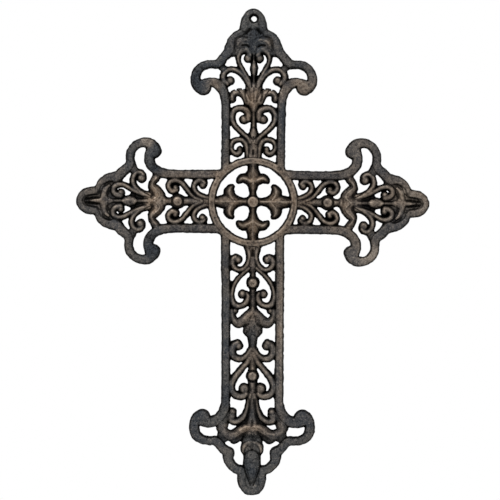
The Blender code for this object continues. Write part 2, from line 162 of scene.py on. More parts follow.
def add_form(at, s, h, wall_shade, rub):
    """Adds one form: its distance inside its outline, its height and its painted wall shade."""
    s = s + OUTSET
    old = inside[at]
    blend = np.clip(CORNER - np.abs(old - s), 0, None)
    inside[at] = np.maximum(old, s) + blend ** 2 / (4 * CORNER)
    h = np.minimum(h, WALL_SLOPE * s)
    mine = h > height[at]
    height[at] = np.where(mine, h, height[at])
    rubbed[at] = np.where(mine, rub, rubbed[at])
    # Painted shade: the colour goes black towards the outline, down the side walls
    low, high = wall_shade
    unshaded[at] = np.where(mine, fade(s, low, high - low), unshaded[at])


def distances(p, at):
    """For each segment of a polyline, the share along it and the distance from it."""
    gx, gy = plan_x[at], plan_y[at]
    for a, b in zip(p, p[1:]):
        d = b - a
        t = np.clip(((gx - a[0]) * d[0] + (gy - a[1]) * d[1]) / max(d @ d, 1e-9), 0, 1)
        yield t, np.hypot(gx - a[0] - t * d[0], gy - a[1] - t * d[1])


def stroke(points, widths, kind, rub=0.0):
    """A stroke through plan points with the half widths there."""
    p, w = np.asarray(points, float), np.asarray(widths, float)
    reach = w.max() + OUTSIDE
    at = window(p.min(axis=0) - reach, p.max(axis=0) + reach)
    s = np.full(plan_x[at].shape, -1e9)
    share = np.zeros(s.shape)
    for k, (t, far) in enumerate(distances(p, at)):
        here = w[k] + t * (w[k + 1] - w[k])
        share = np.where(here - far > s, far / here, share)
        s = np.maximum(s, here - far)
    add_form(at, s, kind[0](share, s), kind[1], rub)


def plate(outline, kind, rub=0.0):
    """A plate with the given outline."""
    p = np.asarray(outline, float)
    at = window(p.min(axis=0) - OUTSIDE, p.max(axis=0) + OUTSIDE)
    gx, gy = plan_x[at], plan_y[at]
    closed = np.vstack([p, p[:1]])
    far = np.min([d for _, d in distances(closed, at)], axis=0)
    odd = np.zeros(gx.shape, bool)
    for a, b in zip(closed, closed[1:]):
        if a[1] != b[1]:
            meets = (b[0] - a[0]) * (gy - a[1]) / (b[1] - a[1]) + a[0]
            odd ^= ((a[1] > gy) != (b[1] > gy)) & (gx < meets)
    s = np.where(odd, far, -far)
    add_form(at, s, kind[0](np.zeros(s.shape), s), kind[1], rub)


# ---------------------------------------------------------------- the pattern
# One half of each arm, outward from the ring's centre, and the forms on the arm's axis: the
# points (across, along), the half widths there, the section, and how much the form is rubbed.
SIDE = [
    ([(25.3, 28), (24.9, 45), (24.9, 60), (25.1, 75), (25.6, 81.8), (27.4, 87.5), (30.8, 92.2),
      (35.4, 95.3), (39.9, 96), (44.3, 95.1), (46.6, 92.3)],
     [4.3, 4.3, 4.2, 4.2, 4.5, 4.6, 4.5, 4.8, 4.8, 4.9, 4.9], RAIL, 0.3),
    ([(46, 89.7), (50.6, 92.2), (53.4, 96.3), (54.1, 101.3), (52.6, 106.5), (49.3, 110.6),
      (44.9, 113.1), (40, 113.8)], [4.4, 4.8, 5, 4.5, 4.1, 4.2, 4.2, 4], RAIL, 0.3),
    ([(39, 113.6), (35, 113.5), (31.6, 115.2), (27.5, 120.1), (23.2, 124.2), (21.7, 127.6)],
     [3.7, 4.5, 4.6, 4.8, 5, 5.3], RAIL, 0.3),
    ([(21.8, 128), (21.5, 132.7), (19.4, 136.9), (16.1, 140.2), (11.9, 141.9)],
     [4.5, 4.2, 4, 4, 4.3], RAIL, 0.3),
    ([(46.7, 92.1), (46.7, 92.2)], 7.1, RAIL, 0.2),
    ([(8.8, 145.3), (8.7, 149.5), (7.5, 153.6), (5.5, 156.8), (2.7, 158.7), (-0.5, 159.2)],
     [4.1, 4, 4.2, 4.2, 4.1, 4], RAIL, 0.3),
    ([(0.3, 46.9), (3.2, 53.5), (7.4, 58), (12, 61.6), (16.5, 65.3), (19, 69.8), (19.2, 73.5),
      (17.4, 76.7), (14.2, 78.1), (10.9, 76.7), (9.3, 74), (10.7, 71.1)],
     [3, 2.7, 2.6, 3, 3, 3.1, 3.2, 3.1, 3.1, 3.2, 3.4, 3.5], SCROLL, 0.7),
    ([(12.3, 71.4), (12.3, 71.5)], 3.4, EYE, 0.7),
    ([(3, 39.5), (3.9, 44.6), (6, 49.5), (9.4, 53.3), (13.4, 54.6), (17.1, 53.2), (19.3, 50.2),
      (19.1, 47), (16.8, 44.8)], [3, 2.8, 2.8, 2.9, 3, 3.1, 3.2, 3.1, 3], SCROLL, 0.6),
    ([(15.2, 46.4), (15.2, 46.5)], 3.7, EYE, 0.6),
    ([(3.5, 86.5), (6.8, 87.9), (10.6, 91), (13.2, 93.2), (17.2, 92.7), (21.4, 90), (22.8, 89)],
     [5.5, 5.7, 5.3, 3.8, 3.5, 4, 3.9], LEAF, 0.8),
    ([(5.1, 85.7), (5.1, 85.8)], 4.4, LEAF, 0.8),
    ([(5.5, 95.4), (6.5, 101.4), (8.9, 108), (11.9, 113.8), (14.7, 119.2), (15.2, 124.6),
      (12.7, 128.4), (8.7, 128.9), (5.8, 126.4), (5.2, 122.6)],
     [3.7, 3.3, 3.1, 2.9, 2.9, 3.3, 3.4, 3.4, 3.5, 3.8], SCROLL, 0.7),
    ([(7.8, 121.8), (7.8, 121.9)], 3.6, EYE, 0.7),
    ([(4, 95.3), (6.2, 100.3), (9.3, 105.6), (13.6, 109.6), (18.8, 111.2), (23.6, 109.9),
      (26.4, 106.8), (26.1, 103.5), (24.1, 101.5)],
     [2.8, 3, 3.1, 3.1, 3.1, 3.2, 3.1, 3, 3], SCROLL, 0.6),
    ([(21.2, 102.9), (21.2, 103)], 4.6, EYE, 0.6),
    ([(0, 94), (4, 103), (5.1, 111.1)], [3, 3.6, 2.8], WEB, 0),
    ([(27.2, 109.1), (31.3, 111.7)], [3.8, 4.3], LINK, 0.2),
    ([(0, 45), (4, 50), (6.5, 55)], 3, WEB, 0),
    ([(8.2, 58.7), (12.6, 60.6)], [1.9, 2], WEB, 0),
    ([(19.6, 76), (21, 72), (20.9, 65)], [2.5, 3, 1.7], WEB, 0),
    ([(20.6, 54.9), (21.5, 50), (20.1, 43.9)], [0.6, 3, 1.5], WEB, 0),
    ([(1.5, 138.2), (6.5, 137.8), (11, 136), (14, 132.8)], [3.8, 3.3, 2.9, 2], TWIG, 0.7),
]
SIDE_MID = [
    ([(0, 38), (0, 84.1)], [4.8, 3.5], STEM, 0.5),
    ([(0, 69.5), (0, 69.5)], 7.1, BEAD, 0.6),
    ([(0, 83.4), (0, 86.1), (0, 90), (0, 95), (0, 98)], [5.2, 6, 6.3, 5.8, 4.9], LEAF, 0.9),
    ([(0, 96), (0, 134)], [3.2, 2.8], STEM, 0.4),
    ([(0, 107.6), (0, 110.6), (0, 114), (0, 117.4), (0, 120.4)],
     [2.6, 4.8, 5.6, 4.6, 2.6], BUD, 0.6),
    ([(0, 130.5), (0, 136), (0, 140), (0, 146), (0, 151.5)], [2.6, 5.4, 4.6, 2.6, 0.9], TWIG, 0.4),
]
TOP = [
    ([(25.4, 27.4), (25.5, 44.5), (25.6, 59.7), (25.9, 90.3), (26.9, 97.7), (28.7, 103.3),
      (31.9, 107.4), (35.8, 110), (39.7, 110.7), (43.5, 110), (45.2, 107.5)],
     [4.2, 4.1, 3.9, 4.1, 4.3, 4.7, 5.1, 4.8, 4.3, 4.2, 4.1], RAIL, 0.3),
    ([(47.7, 103.6), (51.5, 106.5), (53.8, 111.2), (53.8, 116.5), (51.6, 121.5), (48.1, 125),
      (43.9, 126.9), (39.5, 127.3)], [4.7, 4.8, 4.8, 4.5, 4.3, 4.2, 4.1, 3.8], RAIL, 0.3),
    ([(38.5, 127.6), (34.5, 127.4), (31.3, 129.1), (27.4, 134.3), (23.4, 138.7), (22.1, 142.2)],
     [3.4, 4.3, 4.6, 4.3, 4.9, 5.1], RAIL, 0.3),
    ([(21.4, 143.5), (20.9, 147.9), (18.9, 151.8), (15.5, 154.7), (11.3, 156.2)],
     [4.2, 3.9, 3.5, 3.4, 3.7], RAIL, 0.3),
    ([(46.3, 106.1), (46.3, 106.2)], 7.2, RAIL, 0.2),
    ([(8.7, 160.8), (8.1, 164.8), (7, 168.7), (5.3, 172), (3, 174.2), (0.3, 175.1)],
     [4.3, 4.1, 4, 4, 3.9, 3.8], RAIL, 0.3),
    ([(2.6, 55), (5.1, 58.9), (9.3, 62.9), (13.4, 66.6), (17.4, 70.9), (19.9, 76), (20, 80.7),
      (18, 84.5), (14.6, 86.6), (10.4, 86.5), (6.6, 84.7), (4.7, 80.8), (5.3, 77)],
     [3.1, 2.9, 2.7, 2.8, 2.9, 3.3, 3.4, 3.4, 3.3, 3.5, 3.8, 3.8, 3.7], SCROLL, 0.7),
    ([(8.9, 76.4), (8.9, 76.5)], 4.4, EYE, 0.7),
    ([(5.5, 39.2), (5.6, 45.7), (6.1, 50.9), (7.7, 54.9), (10.4, 57.4), (14.4, 57.7), (18.4, 56.1),
      (20.4, 52.7), (20.2, 48.7), (17.9, 45.6), (14.7, 44.6), (12.4, 46.3)],
     [2.1, 2.7, 3, 3.1, 3, 2.8, 2.9, 2.7, 2.7, 2.9, 3.1, 3.2], SCROLL, 0.6),
    ([(12.4, 48.5), (12.4, 48.6)], 3.2, EYE, 0.6),
    ([(4.9, 93.5), (8.1, 98.4), (10.8, 101), (14.7, 101.4), (18.1, 100.3), (19.9, 97),
      (19.8, 94.7)], [4.8, 4.2, 4.2, 3.5, 3.5, 3.2, 3], LEAF, 0.7),
    ([(3.2, 105.9), (5, 111.3), (8.1, 117.3), (11, 122.9), (13.6, 128.4), (14.5, 133.2),
      (13.2, 137.6), (10.1, 140.6), (6.8, 141.1), (4.3, 139.2), (3.7, 136)],
     [3.6, 3.4, 3.1, 2.8, 2.3, 2.7, 3.3, 4, 4.1, 4, 3.8], SCROLL, 0.6),
    ([(5.3, 132.8), (5.3, 132.9)], 4.2, EYE, 0.5),
    ([(3.3, 105.4), (6, 110.8), (9.7, 116.8), (14.2, 120.7), (18.8, 122.5), (23.4, 122.3),
      (27, 119.7), (28.5, 115.7), (27.4, 111.3), (24.8, 109.3)],
     [2.9, 2.8, 3, 3.2, 3, 3, 3.2, 3.5, 3.5, 3.2], SCROLL, 0.5),
    ([(21.9, 112.2), (21.9, 112.3)], 4.3, EYE, 0.5),
    ([(0, 104), (2.8, 110.2), (4.7, 114.8)], [3, 3.5, 1.9], WEB, 0),
    ([(28.4, 121.2), (28.4, 122.6)], [2.3, 4.1], LINK, 0.2),
    ([(0, 50), (5, 57)], [5, 3.5], WEB, 0),
    ([(8.9, 60.7), (11.6, 61.1)], [1.8, 0.9], WEB, 0),
    ([(21.2, 71.9), (21.5, 79), (21.5, 86.3)], [1.5, 2.8, 0.9], WEB, 0),
    ([(21.1, 45), (21.2, 52), (21.1, 56.9)], [1.3, 2.9, 0.6], WEB, 0),
    ([(21.5, 94.9), (24.1, 98.7)], [3.1, 2.5], WEB, 0),
    ([(3, 149), (8, 149.6), (12.6, 148), (15, 144.5)], [3, 2.8, 2.7, 2.2], RELIEF, 0.5),
    ([(2, 151.5), (4.6, 153.6), (6.2, 152.4)], [2.2, 1.6, 1], RELIEF, 0.3),
    ([(19.6, 95), (19.6, 95.1)], 2.8, EYE, 0.7),
]
TOP_MID = [
    ([(0, 38), (0, 54), (0, 60), (0, 104)], [6.8, 4.8, 3.2, 1.9], STEM, 0.5),
    ([(0, 56), (0, 59.9), (0, 62.8), (0, 65.6), (0, 68.3)], [4.1, 4.7, 4.7, 3.5, 2.1], BUD, 0.6),
    ([(0, 85.5), (0, 90), (0, 96), (0, 104.3)], [3.4, 5.3, 6.8, 8], LEAF, 0.9),
    ([(0, 104), (0, 139)], [2.2, 1.8], STEM, 0.4),
    ([(0, 117.6), (0, 120.6), (0, 124), (0, 127.2), (0, 130.1)], [2.5, 3.3, 3.9, 3, 2.1], BUD, 0.6),
    ([(0, 141), (0, 150), (0, 161)], [3.2, 4, 3.4], RELIEF, 0.1),
    ([(0, 163.4), (0, 173)], [5.6, 6], RAIL, 0.1),
    ([(-5, 161.8), (5, 161.8)], 2.4, RAIL, 0.1),
]
FOOT = [
    ([(24.9, 27), (25.1, 59.5), (24.7, 89.9), (24.8, 120.1), (24.6, 150), (24.7, 182.4),
      (25.2, 189.1), (27.1, 194.8), (30.6, 199.7), (35.2, 202.8), (39.8, 203.8), (44.2, 203),
      (46.6, 200.4)], [4.3, 4.1, 4.2, 3.9, 4.1, 4.1, 4.7, 4.8, 4.9, 5.3, 5.1, 5.2, 5.2], RAIL, 0.3),
    ([(46.8, 196.3), (50.8, 198.9), (53.1, 203.5), (53.5, 209.1), (52.3, 214.3), (49.2, 218.1),
      (44.8, 220.3), (40, 220.8)], [4, 4.5, 4.6, 4.8, 4.7, 4.5, 4.2, 3.7], RAIL, 0.3),
    ([(39.6, 221.3), (35, 220.8), (31.2, 222.7), (26.6, 228.2), (21.9, 231.7), (20.8, 233.6)],
     [3.8, 4.5, 4.6, 4.5, 5.4, 4.3], RAIL, 0.3),
    ([(22.1, 235.8), (21, 239.9), (18.3, 243.8), (14.7, 246.7), (10.4, 248.2)],
     [5, 4.6, 4.5, 4.5, 4.6], RAIL, 0.3),
    ([(46.3, 199.5), (46.3, 199.6)], 7.7, RAIL, 0.2),
    ([(9, 252.1), (9.3, 256.6), (8.5, 260.9), (6.6, 264.4), (4, 266.7), (0.6, 267.3)],
     [4.4, 4, 3.8, 3.8, 3.9, 3.9], RAIL, 0.3),
    ([(5.2, 39.7), (3.8, 45.1), (3.1, 50.2), (3.9, 54.7), (6.2, 59.5), (10, 62.5), (13.8, 62.5),
      (17.2, 60.3), (18.9, 56.6), (18.2, 53.2), (15.6, 51.2)],
     [3.6, 3.1, 2.7, 2.8, 2.8, 2.9, 2.7, 3.2, 3.6, 3.7, 3.4], SCROLL, 0.7),
    ([(13.7, 53.1), (13.7, 53.1)], 4.4, EYE, 0.6),
    ([(3.4, 61.1), (7.2, 64.3), (11.2, 68.1), (15.2, 72.8), (18.1, 78.4), (19.4, 84), (19.4, 89.3),
      (17.9, 93.8), (15, 96), (11, 95.9), (7.4, 94), (5.2, 90.8), (4.6, 87.1), (5.7, 84.4)],
     [2.6, 2.4, 2.4, 2.6, 2.5, 2.6, 3, 3.7, 3.5, 3, 3.2, 3.4, 3.1, 2.4], SCROLL, 0.7),
    ([(9.7, 85), (9.7, 85.1)], 4.2, EYE, 0.6),
    ([(1.4, 102.7), (5.5, 106.6), (9.5, 110.3), (13.3, 112.1), (16.4, 110.4), (19, 105.9),
      (19.4, 101.2)], [4.8, 5.1, 5.1, 4.6, 3.9, 3.3, 3.5], LEAF, 0.8),
    ([(16.3, 100.6), (16.3, 100.6)], 3.2, EYE, 0.6),
    ([(-0.2, 134.1), (1.8, 136.7), (4.9, 141.2), (8.8, 144.3), (12.5, 144.9), (16.1, 143.7),
      (18.7, 140.4), (19, 136.3), (17.2, 132.6), (13.9, 130.5)],
     [3, 3.1, 3, 3.3, 3.6, 3.8, 4.1, 4.2, 4.1, 3.8], SCROLL, 0.7),
    ([(12.9, 133), (12.9, 133.1)], 4.2, EYE, 0.6),
    ([(0.9, 140.4), (4.6, 147.8), (8.2, 152.1), (12.2, 157), (16.1, 161.8), (18.8, 166.9),
      (19.6, 171.6), (18.1, 175.9), (14.8, 178.7), (11.3, 179.7), (8.1, 179.3), (5.8, 177.3)],
     [3.5, 3.4, 3.3, 3.4, 3.6, 3.8, 3.8, 3.7, 4, 3.8, 3.6, 3.3], SCROLL, 0.7),
    ([(7.5, 172.5), (7.5, 172.6)], 5.3, EYE, 0.7),
    ([(1.5, 178.2), (2.8, 184.1), (4.3, 191), (6.8, 197.1), (10.8, 201.2), (14.6, 203.1),
      (17.8, 202.7), (19.5, 200.7), (18.9, 197.5)],
     [3.2, 3.2, 3.2, 3.3, 3.5, 3.5, 3.6, 4.1, 4.5], SCROLL, 0.7),
    ([(18.4, 194.1), (18.4, 194.2)], 4.1, EYE, 0.6),
    ([(2.4, 208.2), (6.2, 209.4), (10.6, 211.9), (15.2, 215.1), (20, 216.2), (24.8, 213.8),
      (27.9, 209.8), (27.4, 205.7)], [4.8, 5.2, 5.4, 5.4, 5.3, 4.9, 5.1, 5.8], LEAF, 0.8),
    ([(13.4, 216.6), (16.3, 218.6)], [5.4, 5.3], LOWLEAF, 0.3),
    ([(21.5, 103), (21.9, 110)], [2.6, 2.5], LINK, 0.2),
    ([(20.1, 74.1), (21.7, 82), (21.5, 93)], [0.7, 3, 1], WEB, 0),
    ([(9.1, 64), (12.5, 64.4)], [2, 1.1], WEB, 0),
    ([(20.5, 51), (21.5, 58), (20.6, 62.4)], [1.5, 2.6, 1.2], WEB, 0),
    ([(0, 142), (3, 149)], [3, 2.6], WEB, 0),
    ([(20.9, 162.2), (22.1, 171), (21.4, 180.4)], [1.9, 2.5, 1.3], WEB, 0),
    ([(20, 136), (22, 138)], 2.4, WEB, 0),
    ([(21.1, 196), (24, 199), (27, 203)], [3, 3, 4], LINK, 0.2),
    ([(-0.5, 178.1), (-0.2, 190.2), (3, 196.4), (6.2, 202.6)], [5.2, 5.5, 5.8, 6], WEB, 0),
    ([(28.9, 215.6), (25.6, 219)], [3.2, 3.4], LINK, 0.2),
    ([(12, 212), (9, 216)], [3, 2.5], WEB, 0),
    ([(27.8, 206.2), (27.8, 206.3)], 3.8, EYE, 0.6),
    ([(6.4, 119.9), (6.4, 120)], 2.6, LEAF, 0.3),
    ([(0, 221.6), (4, 222.8), (7.3, 225.8), (8.3, 229), (8.1, 231.2)],
     [3.4, 3.4, 3, 2.3, 1.7], CAP, 0.5),
]
FOOT_MID = [
    ([(0, 38), (0, 49.6), (0, 61.4), (0, 63.2)], [7.8, 5.8, 4.2, 2.8], STEM, 0.5),
    ([(0, 62), (0, 100)], [2.7, 3.7], STEM, 0.4),
    ([(0, 74.5), (0, 74.6)], 6.3, BEAD, 0.7),
    ([(0, 97.6), (0, 101.3), (0, 106), (0, 111.8)], [2.4, 3.9, 5.4, 6.9], LEAF, 0.8),
    ([(0, 109.4), (0, 115), (0, 117.7), (0, 120.3), (0, 122.5), (0, 125.8), (0, 133), (0, 137.1)],
     [7.9, 8.8, 8.8, 6.6, 5.4, 4.8, 3.4, 1.9], LEAF, 0.2),
    ([(0, 140), (0, 150), (0, 178)], [2.9, 4, 4.1], STEM, 0.5),
    ([(0, 160.6), (0, 160.7)], 6.1, BEAD, 0.7),
    ([(0, 176), (0, 190), (0, 200), (0, 208)], [3.4, 5.1, 6.9, 8.7], STEM, 0.3),
    ([(0, 208.2), (0, 218.2), (0, 222.2), (0, 227.2), (0, 229.4)],
     [6.9, 8.3, 9.7, 10, 9], LEAF, 0.2),
    ([(0, 229.8), (0, 232.7), (0, 236.3), (0, 244), (0, 252), (0, 261)],
     [7.8, 7.9, 7.9, 7.5, 5, 0.8], SHAFT, 0.1),
    ([(0, 239.7), (0, 256)], [7.9, 7.8], HEAD, 0),
]
CROSS_UPRIGHT = [
    ([(0.6, 18.8), (4.7, 20.7), (9, 22), (11.6, 20.8), (13.3, 19.2)],
     [5.6, 4.9, 4.5, 3.9, 2.5], ROOF, 0.8),
]
CROSS_UPRIGHT_MID = [
    ([(0, 4.2), (0, 9.3), (0, 16.1), (0, 25.1), (0, 28.1), (0, 35.9)],
     [4.1, 3.1, 5.1, 6.7, 5.5, 4.7], ROOF, 0.7),
]
CROSS_BEAM = [
    ([(1.2, 17.7), (5.2, 20.7), (8.8, 22), (12, 21.1), (13.9, 19.2)],
     [5.6, 5.1, 5.3, 3.9, 2.5], ROOF, 0.8),
]
CROSS_BEAM_MID = [
    ([(0, 4.1), (0, 9), (0, 16.2), (0, 24.8), (0, 28.2), (0, 35.5)],
     [4.1, 3.6, 5.5, 7, 6.2, 4], ROOF, 0.7),
]

# Grooves with painted shade in them and, with a depth below nought, ridges with a painted
# highlight: the points, the half width, the depth, and how much shade is painted there (below
# nought, how much highlight).
CUTS = {
    "side": [
        ([(3.4, 93.4), (7, 92.6), (10, 95), (14, 97), (18, 96)], 2.6, 1.0, 0.7),
        ([(0, 84), (2, 83.4)], 1.8, 0.6, 0.4),
        ([(0, 91), (3, 87.6), (5.2, 86), (8.6, 87.2), (12, 91), (14.9, 93.2), (18, 91.8), (21, 89)],
         1.4, -1.1, -0.7),
        ([(1.9, 97), (2.1, 107), (5.2, 109)], 0.9, 0.9, 0.85),
        ([(4.6, 119.4), (1.9, 121), (1.7, 128)], 0.9, 0.9, 0.85),
        ([(5, 95), (7.6, 100)], 0.8, 0.9, 0.8),
        ([(2.8, 142), (2.5, 148), (1.7, 154)], 1.6, 1.6, 0.9),
        ([(0, 157.4), (4, 155.4), (4.8, 150), (6.2, 144.6), (9.6, 141.9), (13.6, 140),
          (16.6, 135.4), (17.8, 130)], 1.3, 0.8, 0.8),
        ([(2.2, 133.4), (5.5, 133.8), (9, 132.8)], 1.2, 0.9, 0.7),
    ],
    "top": [
        ([(5.6, 151.6), (9, 152.8), (13, 152), (16, 149), (17.3, 144), (16.8, 138.5)],
         1.2, 0.7, 0.7),
        ([(10.5, 144.6), (7, 145), (4.2, 143.4)], 1.5, 1.6, 0.95),
        ([(3.6, 159.4), (5.2, 157.4), (6.9, 155.6)], 1.7, 1.6, 0.95),
        ([(12.8, 142.4), (16, 141)], 0.9, 0.6, 0.6),
        ([(0, 92), (0, 104.8)], 1.3, 0.7, 0.35),
        ([(2.6, 93), (4.9, 104.4)], 1.3, 0.7, 0.4),
        ([(6.6, 93), (7.9, 98.5), (7.2, 103)], 1.6, 1.2, 0.7),
        ([(8.6, 98.6), (11.5, 100.9), (15, 101.2), (18.2, 99.6)], 1.0, -0.4, -0.4),
        ([(10.9, 106.8), (10.2, 104.4)], 1.0, 8, 1),
        ([(14.2, 103.2), (12.6, 100.8)], 0.9, 1.0, 0.8),
        ([(17.2, 105.4), (16.4, 103.4)], 1.0, 8, 1),
        ([(0, 44.2), (0, 47.4)], 1.9, 2.0, 0.9),
        ([(1.9, 106), (1.9, 116.4)], 1.0, 0.8, 0.9),
        ([(1.7, 130.6), (1.4, 137)], 1.0, 0.8, 0.9),
        ([(3.6, 65.4), (3.4, 61.8), (1.2, 58)], 1.1, 1.2, 0.9),
        ([(0, 60), (0, 56)], 1.2, 1.2, 0.8),
    ],
    "foot": [
        ([(0, 44.4), (0, 49.6)], 2.0, 2.0, 0.9),
        ([(4.2, 112.6), (7, 114.8)], 1.7, 1.4, 0.8),
        ([(1.6, 105), (3.4, 110.6)], 0.8, 0.7, 0.5),
        ([(3.4, 117), (5, 120.6)], 1.1, 0.8, 0.5),
        ([(2.4, 183), (3.4, 194), (5.6, 204)], 2.6, 1.4, 0.9),
        ([(0, 184), (0, 203)], 1.0, -0.5, -0.5),
        ([(0, 202.4), (0, 206)], 2.0, 1.6, 0.8),
        ([(1.5, 207.6), (6, 208), (11, 210.8), (15, 213.6), (20, 214.6)], 2.0, -0.5, -0.4),
        ([(5.5, 213.4), (10, 216), (14, 218.6)], 2.2, 0.8, 0.6),
        ([(0, 216.4), (4.8, 217.4)], 3.0, 0.3, 0.55),
        ([(0, 229), (4, 230.4), (7, 233.4)], 1.4, 0.9, 0.85),
        ([(0, 224.6), (0, 229)], 2.2, 0.5, 0.4),
        ([(7.6, 243), (6, 249), (3.2, 257), (1.2, 262)], 0.9, 1.0, 0.85),
        ([(4.6, 247), (3, 254), (1, 260)], 0.8, 0.7, 0.6),
        ([(4.6, 262.6), (0, 264.6)], 0.9, -0.5, -0.4),
    ],
}

# The ridges of the small cross, in the same form, with a painted highlight along them
RIDGES = [
    ([(0, 7.4), (0, 33.5)], 1.1, -0.5, -0.5),
    ([(0, 16.4), (3.4, 19.4), (7.4, 21.2), (11, 20.6)], 1.1, -0.4, -0.5),
]
# Where each arm's beads are, half the outline of the floor at its end, and the fill between the
# arms' rails
BEADS = {"side": [69.5], "top": [], "foot": [75, 161]}
FLOORS = {
    "side": [(0, 158), (6, 157), (10, 148), (14, 143), (20, 139), (23, 128), (20, 120.8),
             (15.5, 121), (14.7, 125), (12.4, 128.8), (8.6, 129.4), (5.8, 127.2), (3.4, 122),
             (0, 120)],
    "top": [(0, 175), (8, 172), (10, 162), (14, 157), (20, 153), (23, 142), (20, 134.5),
            (15.5, 135), (14.4, 138), (12, 141), (8.6, 142.4), (4.5, 141), (3, 137), (0, 135)],
    "foot": [(0, 268), (6, 266), (10, 254), (8, 245), (0, 243)],
}
CORNER_FILL = [(25, 25), (31.9, 25), (31.9, 28.5), (28.5, 31.9), (25, 31.9)]

# Where along or across an arm each kind of distortion starts, and over what stretch it grows
BEND_FROM, NOD_FROM, BEND_OVER = 50.0, 125.0, 30.0
HOOK_FROM = 30.0
LEAN_ACROSS, LEAN_ALONG = (4, 14), (85, 20)


def sagging(turn=0.0, shift=0.0, lift=0.0, bend=0.0, hook=0.0, nod=0.0, lean=0.0):
    """A place for an arm that the mould or the cooling left a little out of true."""
    c, s = math.cos(math.radians(turn)), math.sin(math.radians(turn))

    def place(x, y):
        x += bend * fade(y, BEND_FROM, BEND_OVER) + hook * min(x + HOOK_FROM, 0)
        x += nod * fade(y, NOD_FROM, BEND_OVER)
        y += lean * fade(-x, *LEAN_ACROSS) * fade(y, *LEAN_ALONG)
        return x * c - y * s + shift, x * s + y * c + lift
    return place


right_arm = sagging(-0.4, -0.25, -0.3, hook=0.06, lean=0.8)
left_arm = sagging(-0.09, 0.35, 0.1, lean=0.8)
top_arm = sagging(bend=0.25, nod=-0.6)
foot_arm = sagging(bend=-0.45)


def place_right(x, y):
    x, y = right_arm(x, y)
    return y, -x


def place_left(x, y):
    x, y = left_arm(x, y)
    return -y, x


def place_up(x, y):
    return top_arm(x, y)


def place_down(x, y):
    x, y = foot_arm(x, y)
    return -x, -y


ARMS = [(TOP, TOP_MID, CROSS_UPRIGHT, CROSS_UPRIGHT_MID, "top", HEAD, place_up),
        (FOOT, FOOT_MID, CROSS_UPRIGHT, CROSS_UPRIGHT_MID, "foot", HEAD, place_down),
        (SIDE, SIDE_MID, CROSS_BEAM, CROSS_BEAM_MID, "side", FLOOR, place_right),
        (SIDE, SIDE_MID, CROSS_BEAM, CROSS_BEAM_MID, "side", FLOOR, place_left)]


def circle(radius, y=0.0):
    """Points round a circle on the arm's axis, and back to the first."""
    turns = np.radians(np.linspace(0, 360, 97))
    return np.c_[radius * np.cos(turns), y + radius * np.sin(turns)]


def draw(form, place, sides):
    """Draws one row of a table, on the given sides of the arm's axis."""
    points, widths, kind, rub = form
    curve = smooth(points)
    if np.isscalar(widths):
        widths = [widths] * len(points)
    widths = np.interp(np.linspace(0, 1, len(curve)), np.linspace(0, 1, len(points)), widths)
    for side in sides:
        stroke([place(side * x, y) for x, y in curve], widths, kind, rub)


def draw_arm(half, mid, place):
    for form in half:
        draw(form, place, (1, -1))
    for form in mid:
        draw(form, place, (1,))


def cut(points, reach, depth, shade_or_highlight):
    """Lowers the surface along a line and paints shade into it, or raises it and paints a highlight
    on it.
    """
    p = np.asarray(points, float)
    at = window(p.min(axis=0) - reach, p.max(axis=0) + reach)
    far = np.min([d for _, d in distances(p, at)], axis=0)
    share = np.clip(1 - far / reach, 0, 1)
    share = share * share * (3 - 2 * share)
    height[at] -= np.where(height[at] > 0, depth * share, 0)
    if shade_or_highlight > 0:
        unshaded[at] *= 1 - shade_or_highlight * share
    else:
        unshaded[at] += (1 - unshaded[at]) * -shade_or_highlight * share


for half, mid, _, _, name, floor_kind, place in ARMS:
    right = [place(x, y) for x, y in FLOORS[name]]
    left = [place(-x, y) for x, y in FLOORS[name][::-1]]
    plate(right + left, floor_kind)
    draw_arm(half, mid, place)
for sx in (1, -1):
    for sy in (1, -1):
        plate([(sx * x, sy * y) for x, y in CORNER_FILL], RAIL, rub=0.5)
# Nothing of the arms shows in the ring's opening but the small cross
from_ring = np.hypot(plan_x, plan_y) - RING_RADIUS + RING_HALF - ARM_SETBACK
inside = np.minimum(inside, from_ring)
height = np.minimum(height, from_ring * WALL_SLOPE)
for _, _, small_half, small_mid, _, _, place in ARMS:
    draw_arm(small_half, small_mid, place)
ring = circle(RING_RADIUS)
stroke(ring, [RING_HALF] * len(ring), BAND, rub=0.9)
stroke([(0, 0), (0, 0.1)], [BOSS_RADIUS] * 2, BOSS, rub=1.0)
groove, depths = BOSS_GROOVE
cut(circle(groove), *depths)

# Webs that fill the acute corners between the forms, painted black as shade in the corners
web = np.minimum(WEB_DEPTH, WALL_SLOPE * inside)
unshaded = np.where(web > height, 0.0, unshaded)
height = np.maximum(height, web)

# The hanging hole, with painted shade round its sunk rim
from_hole = np.hypot(plan_x, plan_y - RING_TO_HOLE)
height = np.minimum(height, (from_hole - HOLE_RADIUS) * HOLE_SLOPE)
unshaded *= fade(from_hole, HOLE_SHADE, HOLE_FADE)


# ---------------------------------------------------------------- cast surface
# Layers of noise: (size, wavelength, seed)
LUMPS = [(0.16, 9, 1), (0.10, 4, 2), (0.05, 1.6, 3)]
WAVER = [(1.3, 5, 4), (2.0, 2.2, 5)]
BROWNING = [(0.12, 16, 6)]
LIGHTENING = [(0.10, 11, 7)]
SOFT_INSIDE, SOFTNESS = 1.5, 0.6  # the surface is softened this far in, by this share
EDGE_TOP = 2.5  # lower than this, the noise wavers the outline
SHAFT_AREA, SHAFT_SMOOTH = (0, -238, 11, 20), 0.8  # the smooth shaft at the foot


